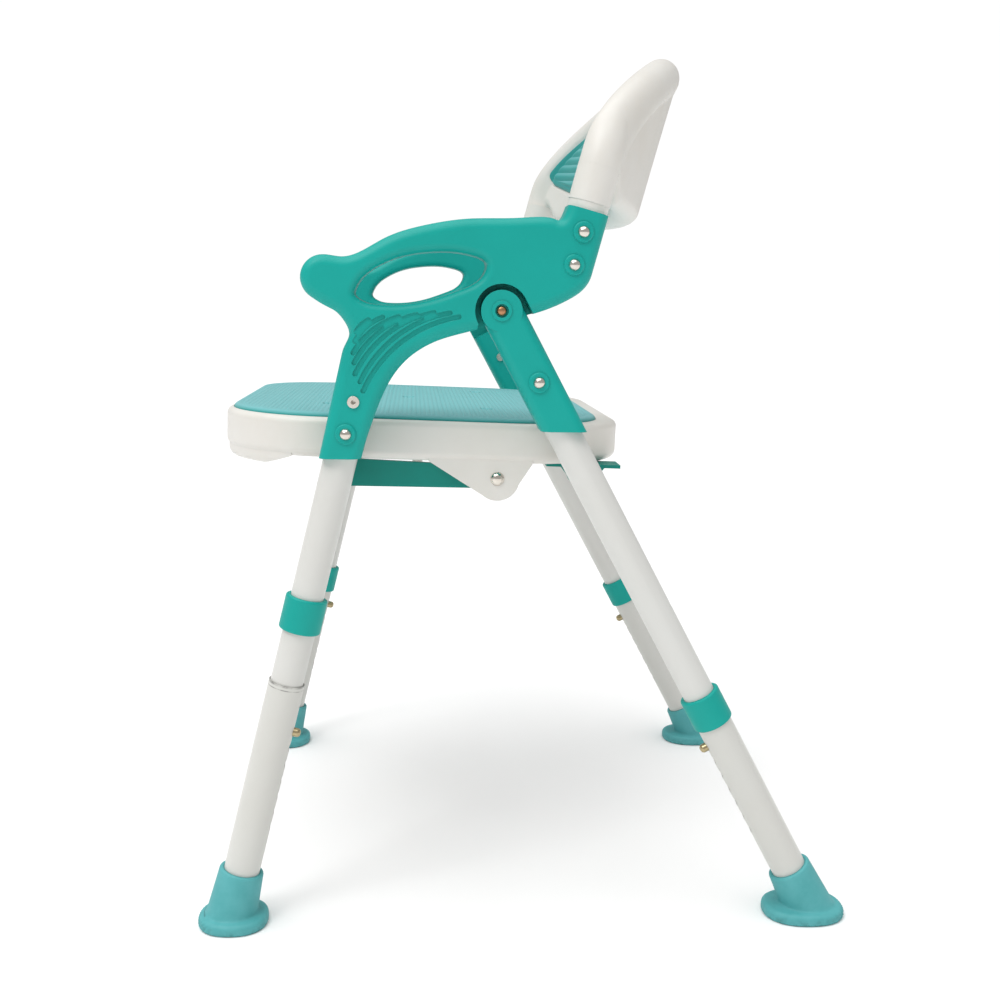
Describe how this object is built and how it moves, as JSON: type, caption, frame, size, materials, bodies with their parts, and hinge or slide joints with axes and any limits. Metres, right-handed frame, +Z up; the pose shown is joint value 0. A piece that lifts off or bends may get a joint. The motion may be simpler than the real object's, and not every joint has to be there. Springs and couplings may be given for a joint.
{
  "type": "folding shower chair",
  "caption": "Folding shower chair with moulded arms, a dished backrest, a padded seat that lifts to fold it, and telescopic legs on rubber feet.",
  "frame": {"origin": "on the floor, under the middle of the bounding box", "axes": "+Z up, -X towards the front, where the sitter faces, and -Y to the sitter's left"},
  "size_m": [0.594, 0.538, 0.8025],
  "materials": {
    "teal_plastic": "moulded, satin",
    "cream_plastic": "moulded, satin",
    "teal_foam": "ribbed closed-cell foam",
    "dark_teal": "moulded, satin",
    "coated_tube": "white powder coat",
    "teal_rubber": "moulded, matt",
    "bright_steel": "nickel plated",
    "plated_steel": "yellow zinc",
    "bare_aluminium": "mill finish"
  },
  "bodies": {
    "front_frame": {"armrest_left": "teal_plastic", "armrest_right": "teal_plastic", "upper_tube_front_left": "coated_tube", "upper_tube_front_right": "coated_tube", "front_crossbar": "coated_tube", "backrest_shell": "cream_plastic", "backrest_pad": "teal_foam", "backrest_core_tubes": "bare_aluminium", "upright_rings": "cream_plastic", "upright_sleeves": "cream_plastic", "back_rivets": "bright_steel", "front_rivets": "bright_steel", "hollow_rivets": "bright_steel", "arm_bosses": "teal_plastic", "pivot_bolts": "bright_steel", "pivot_nuts": "bright_steel", "lock_springs_front": "plated_steel"},
    "rear_frame": {"rear_link_left": "teal_plastic", "rear_link_right": "teal_plastic", "upper_tube_rear_left": "coated_tube", "upper_tube_rear_right": "coated_tube", "rear_crossbar": "coated_tube", "link_rivets": "bright_steel", "link_bosses": "teal_plastic", "lock_springs_rear": "plated_steel"},
    "seat": {"seat_shell": "cream_plastic", "seat_pad": "teal_foam", "seat_hinges": "dark_teal", "ear_pins": "bright_steel"},
    "fold_links": {"fold_link_left": "dark_teal", "fold_link_right": "dark_teal", "link_tie": "coated_tube"},
    "leg_front_left": {"lower_tube_front_left": "coated_tube", "foot_front_left": "teal_rubber", "foot_washer_front_left": "plated_steel"},
    "collar_front_left": {"collar_front_left": "teal_plastic"},
    "lock_front_left": {"lock_button_front_left": "plated_steel"},
    "leg_front_right": {"lower_tube_front_right": "coated_tube", "foot_front_right": "teal_rubber", "foot_washer_front_right": "plated_steel"},
    "collar_front_right": {"collar_front_right": "teal_plastic"},
    "lock_front_right": {"lock_button_front_right": "plated_steel"},
    "leg_rear_left": {"lower_tube_rear_left": "coated_tube", "foot_rear_left": "teal_rubber", "foot_washer_rear_left": "plated_steel"},
    "collar_rear_left": {"collar_rear_left": "teal_plastic"},
    "lock_rear_left": {"lock_button_rear_left": "plated_steel"},
    "leg_rear_right": {"lower_tube_rear_right": "coated_tube", "foot_rear_right": "teal_rubber", "foot_washer_rear_right": "plated_steel"},
    "collar_rear_right": {"collar_rear_right": "teal_plastic"},
    "lock_rear_right": {"lock_button_rear_right": "plated_steel"}
  },
  "joints": [
    {"name": "rear_legs_fold", "type": "hinge", "parent": "front_frame", "child": "rear_frame", "pos_m": [-0.03318, 0, 0.55259], "axis": [0, 1, 0], "range_deg": [0, 35]},
    {"name": "seat_lift", "type": "hinge", "parent": "rear_frame", "child": "seat", "pos_m": [0.04817, 0, 0.404], "axis": [0, 1, 0], "range_deg": [0, 62.53]},
    {"name": "fold_links_swing", "type": "hinge", "parent": "front_frame", "child": "fold_links", "pos_m": [-0.17333, 0, 0.407], "axis": [0, 1, 0], "range_deg": [-24.71, 0]},
    {"name": "leg_height_front_left", "type": "slide", "parent": "front_frame", "child": "leg_front_left", "axis": [0.2317, 0, 0.9728], "range_m": [0, 0.09]},
    {"name": "collar_slide_front_left", "type": "slide", "parent": "leg_front_left", "child": "collar_front_left", "axis": [0.2317, 0, 0.9728], "range_m": [-0.074, 0]},
    {"name": "lock_press_front_left", "type": "slide", "parent": "front_frame", "child": "lock_front_left", "axis": [-0.9728, 0, 0.2317], "range_m": [0, 0.0082], "stiffness_N_per_m": 1500, "springref_m": -0.002},
    {"name": "leg_height_front_right", "type": "slide", "parent": "front_frame", "child": "leg_front_right", "axis": [0.2317, 0, 0.9728], "range_m": [0, 0.09]},
    {"name": "collar_slide_front_right", "type": "slide", "parent": "leg_front_right", "child": "collar_front_right", "axis": [0.2317, 0, 0.9728], "range_m": [0, 0.06]},
    {"name": "lock_press_front_right", "type": "slide", "parent": "front_frame", "child": "lock_front_right", "axis": [-0.9728, 0, 0.2317], "range_m": [0, 0.0082], "stiffness_N_per_m": 1500, "springref_m": -0.002},
    {"name": "leg_height_rear_left", "type": "slide", "parent": "rear_frame", "child": "leg_rear_left", "axis": [-0.4802, 0, 0.8771], "range_m": [0, 0.09]},
    {"name": "collar_slide_rear_left", "type": "slide", "parent": "leg_rear_left", "child": "collar_rear_left", "axis": [-0.4802, 0, 0.8771], "range_m": [0, 0.06]},
    {"name": "lock_press_rear_left", "type": "slide", "parent": "rear_frame", "child": "lock_rear_left", "axis": [0.8771, 0, 0.4802], "range_m": [0, 0.0082], "stiffness_N_per_m": 1500, "springref_m": -0.002},
    {"name": "leg_height_rear_right", "type": "slide", "parent": "rear_frame", "child": "leg_rear_right", "axis": [-0.4802, 0, 0.8771], "range_m": [0, 0.09]},
    {"name": "collar_slide_rear_right", "type": "slide", "parent": "leg_rear_right", "child": "collar_rear_right", "axis": [-0.4802, 0, 0.8771], "range_m": [0, 0.06]},
    {"name": "lock_press_rear_right", "type": "slide", "parent": "rear_frame", "child": "lock_rear_right", "axis": [0.8771, 0, 0.4802], "range_m": [0, 0.0082], "stiffness_N_per_m": 1500, "springref_m": -0.002}
  ],
  "couplings": [
    {"joint": "seat_lift", "follows": "rear_legs_fold", "ratio": 1.7864},
    {"joint": "fold_links_swing", "follows": "rear_legs_fold", "ratio": -0.70611}
  ]
}
